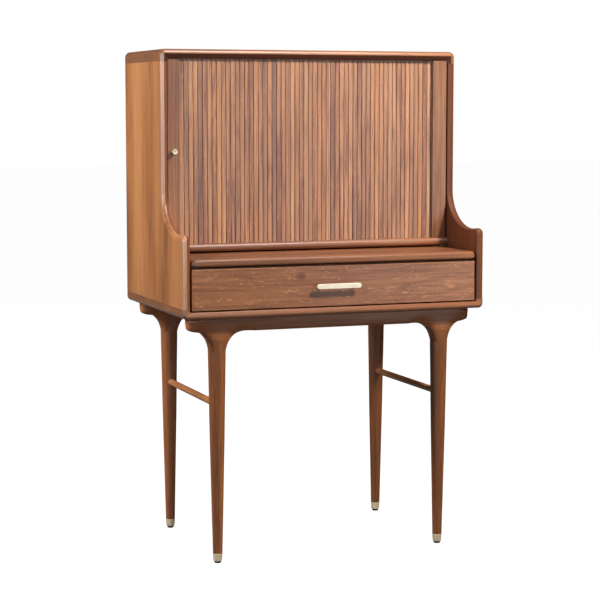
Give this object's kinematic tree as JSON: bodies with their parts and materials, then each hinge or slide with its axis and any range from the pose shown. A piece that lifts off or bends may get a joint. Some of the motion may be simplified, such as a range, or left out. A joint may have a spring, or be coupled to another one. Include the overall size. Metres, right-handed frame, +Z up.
{
  "type": "tambour writing desk",
  "caption": "Shallow walnut writing desk: cabinet with a sideways-sliding slatted tambour, pull-out writing board and full-width drawer, on a low frame with tapered legs and brass ferrules.",
  "frame": {"origin": "on the floor, under the middle of the desk's bounding box", "axes": "+Z up, -Y the front with the drawer, +X to the right when facing the front"},
  "size_m": [0.796, 0.516, 1.26],
  "materials": {
    "walnut_case": "satin oiled",
    "walnut_slats": "satin oiled",
    "walnut_base": "satin oiled",
    "inner_wood": "matt",
    "plywood": "matt",
    "brass": "satin",
    "steel": "plain",
    "black_plastic": "matt"
  },
  "bodies": {
    "case": {"top_board": "walnut_case", "bottom_board": "walnut_case", "left_side": "walnut_case", "right_side": "walnut_case", "back_panel": "plywood", "deck_panel": "inner_wood", "dust_panel": "inner_wood", "sill_rail": "walnut_case", "right_jamb": "walnut_slats", "curtain_track": "inner_wood", "pocket_liner_right": "inner_wood", "pocket_liner_back": "inner_wood", "shelf_lower": "inner_wood", "shelf_upper": "inner_wood", "divider_left": "inner_wood", "divider_right": "inner_wood", "divider_mid": "inner_wood", "board_guide_left": "inner_wood", "board_guide_right": "inner_wood", "board_kicker_left": "inner_wood", "board_kicker_right": "inner_wood", "drawer_runner_left": "inner_wood", "drawer_runner_right": "inner_wood", "case_dowels": "inner_wood", "front_apron": "walnut_base", "rear_apron": "walnut_base", "leg_front_left": "walnut_base", "leg_front_right": "walnut_base", "leg_rear_left": "walnut_base", "leg_rear_right": "walnut_base", "leg_ferrules": "brass", "glide_feet": "black_plastic", "stretcher_left": "walnut_base", "stretcher_right": "walnut_base", "base_screws": "steel"},
    "drawer": {"drawer_front": "walnut_case", "drawer_side_left": "inner_wood", "drawer_side_right": "inner_wood", "drawer_back": "inner_wood", "drawer_bottom": "plywood", "drawer_handle": "brass", "handle_posts": "brass", "handle_screws": "steel"},
    "writing_board": {"writing_board": "walnut_case"},
    "curtain_lead": {"curtain_lead": "walnut_slats", "curtain_knob": "brass", "knob_screw": "steel"},
    "curtain_strip_01": {"curtain_strip_01": "walnut_slats"},
    "curtain_strip_02": {"curtain_strip_02": "walnut_slats"},
    "curtain_strip_03": {"curtain_strip_03": "walnut_slats"},
    "curtain_strip_04": {"curtain_strip_04": "walnut_slats"},
    "curtain_strip_05": {"curtain_strip_05": "walnut_slats"},
    "curtain_strip_06": {"curtain_strip_06": "walnut_slats"},
    "curtain_strip_07": {"curtain_strip_07": "walnut_slats"},
    "curtain_strip_08": {"curtain_strip_08": "walnut_slats"},
    "curtain_strip_09": {"curtain_strip_09": "walnut_slats"},
    "curtain_strip_10": {"curtain_strip_10": "walnut_slats"},
    "curtain_strip_11": {"curtain_strip_11": "walnut_slats"},
    "curtain_strip_12": {"curtain_strip_12": "walnut_slats"}
  },
  "joints": [
    {"name": "curtain_slide", "type": "slide", "parent": "case", "child": "curtain_lead", "axis": [1, 0, 0], "range_m": [0, 0.684]},
    {"name": "drawer_slide", "type": "slide", "parent": "case", "child": "drawer", "axis": [0, -1, 0], "range_m": [0, 0.33]},
    {"name": "writing_board_slide", "type": "slide", "parent": "case", "child": "writing_board", "axis": [0, -1, 0], "range_m": [0, 0.23]},
    {"name": "strip_01_slide", "type": "slide", "parent": "case", "child": "curtain_strip_01", "axis": [1, 0, 0], "range_m": [0, 0.6631], "deforming": ["curtain_strip_01"]},
    {"name": "strip_02_slide", "type": "slide", "parent": "case", "child": "curtain_strip_02", "axis": [1, 0, 0], "range_m": [0, 0.6021], "deforming": ["curtain_strip_02"]},
    {"name": "strip_03_slide", "type": "slide", "parent": "case", "child": "curtain_strip_03", "axis": [1, 0, 0], "range_m": [0, 0.5411], "deforming": ["curtain_strip_03"]},
    {"name": "strip_04_slide", "type": "slide", "parent": "case", "child": "curtain_strip_04", "axis": [1, 0, 0], "range_m": [0, 0.48], "deforming": ["curtain_strip_04"]},
    {"name": "strip_05_slide", "type": "slide", "parent": "case", "child": "curtain_strip_05", "axis": [1, 0, 0], "range_m": [0, 0.419], "deforming": ["curtain_strip_05"]},
    {"name": "strip_06_slide", "type": "slide", "parent": "case", "child": "curtain_strip_06", "axis": [1, 0, 0], "range_m": [0, 0.358], "deforming": ["curtain_strip_06"]},
    {"name": "strip_07_slide", "type": "slide", "parent": "case", "child": "curtain_strip_07", "axis": [1, 0, 0], "range_m": [0, 0.297], "deforming": ["curtain_strip_07"]},
    {"name": "strip_08_slide", "type": "slide", "parent": "case", "child": "curtain_strip_08", "axis": [1, 0, 0], "range_m": [0, 0.2361], "deforming": ["curtain_strip_08"]},
    {"name": "strip_09_slide", "type": "slide", "parent": "case", "child": "curtain_strip_09", "axis": [1, 0, 0], "range_m": [0, 0.1751], "deforming": ["curtain_strip_09"]},
    {"name": "strip_10_slide", "type": "slide", "parent": "case", "child": "curtain_strip_10", "axis": [1, 0, 0], "range_m": [0, 0.1141], "deforming": ["curtain_strip_10"]},
    {"name": "strip_11_slide", "type": "slide", "parent": "case", "child": "curtain_strip_11", "axis": [1, 0, 0], "range_m": [0, 0.0531], "deforming": ["curtain_strip_11"]},
    {"name": "strip_12_slide", "type": "slide", "parent": "case", "child": "curtain_strip_12", "axis": [1, 0, 0], "range_m": [0, 0.0042], "deforming": ["curtain_strip_12"]}
  ],
  "couplings": [
    {"joint": "strip_01_slide", "follows": "curtain_slide", "ratio": 0.9693},
    {"joint": "strip_02_slide", "follows": "curtain_slide", "ratio": 0.88012},
    {"joint": "strip_03_slide", "follows": "curtain_slide", "ratio": 0.79094},
    {"joint": "strip_04_slide", "follows": "curtain_slide", "ratio": 0.70175},
    {"joint": "strip_05_slide", "follows": "curtain_slide", "ratio": 0.61257},
    {"joint": "strip_06_slide", "follows": "curtain_slide", "ratio": 0.52339},
    {"joint": "strip_07_slide", "follows": "curtain_slide", "ratio": 0.43421},
    {"joint": "strip_08_slide", "follows": "curtain_slide", "ratio": 0.34503},
    {"joint": "strip_09_slide", "follows": "curtain_slide", "ratio": 0.25585},
    {"joint": "strip_10_slide", "follows": "curtain_slide", "ratio": 0.16667},
    {"joint": "strip_11_slide", "follows": "curtain_slide", "ratio": 0.07749},
    {"joint": "strip_12_slide", "follows": "curtain_slide", "ratio": 0.00614}
  ]
}
